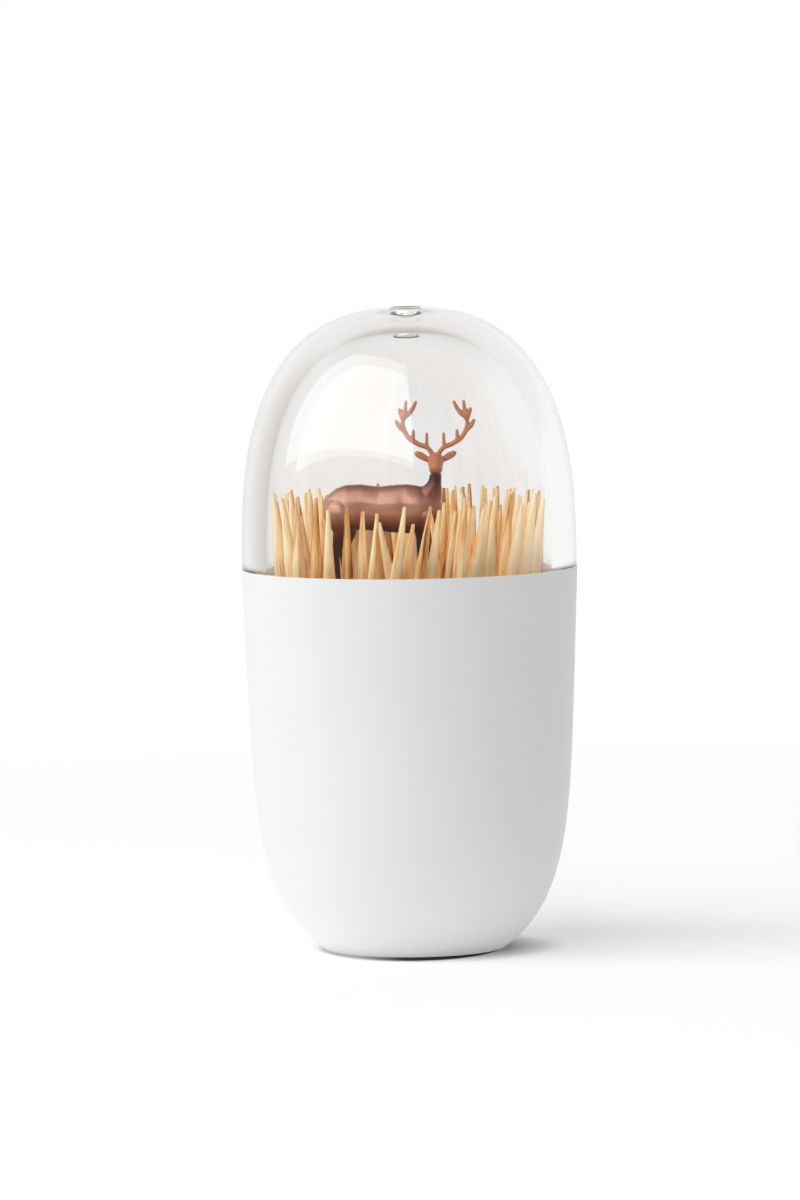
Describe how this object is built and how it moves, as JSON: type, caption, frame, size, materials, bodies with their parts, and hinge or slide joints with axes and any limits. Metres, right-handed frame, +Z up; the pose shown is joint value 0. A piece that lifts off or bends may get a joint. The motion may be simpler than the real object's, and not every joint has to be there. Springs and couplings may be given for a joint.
{
  "type": "toothpick holder",
  "caption": "Pill-shaped toothpick holder: a white cup, a lift-off clear dome with a dispensing hole, and a stag figure on a post among the toothpicks.",
  "frame": {"origin": "centre of the base, on the surface that it stands on", "axes": "+Z up along the axis of the cup and dome, the stag's side faces -Y and its chest points to +X"},
  "size_m": [0.058, 0.058, 0.111],
  "materials": {
    "cup_white": "smooth matte white",
    "plate_white": "smooth matte white",
    "post_brown": "satin brown",
    "stag_brown": "satin brown",
    "stag_light_brown": "satin light brown",
    "dome_clear": "polished clear",
    "wood": "bare pale wood"
  },
  "bodies": {
    "cup": {"cup_shell": "cup_white", "floor_plate": "plate_white", "stag_post": "post_brown", "stag_body": "stag_brown", "stag_head": "stag_light_brown"},
    "lid": {"dome_lid": "dome_clear"},
    "toothpicks": {"toothpicks_ring_1": "wood", "toothpicks_ring_2": "wood", "toothpicks_ring_3": "wood", "toothpicks_ring_4": "wood", "toothpicks_ring_5": "wood"},
    "one_toothpick": {"loose_toothpick": "wood"}
  },
  "joints": [
    {"name": "lid_lift", "type": "slide", "parent": "cup", "child": "lid", "axis": [0, 0, 1], "range_m": [0, 0.05]},
    {"name": "toothpicks_slide", "type": "slide", "parent": "cup", "child": "toothpicks", "axis": [0, 0, 1], "range_m": [0, 0.0025]},
    {"name": "one_toothpick_draw", "type": "slide", "parent": "cup", "child": "one_toothpick", "axis": [-0.1742, -0.1306, 0.976], "range_m": [0, 0.016]}
  ]
}
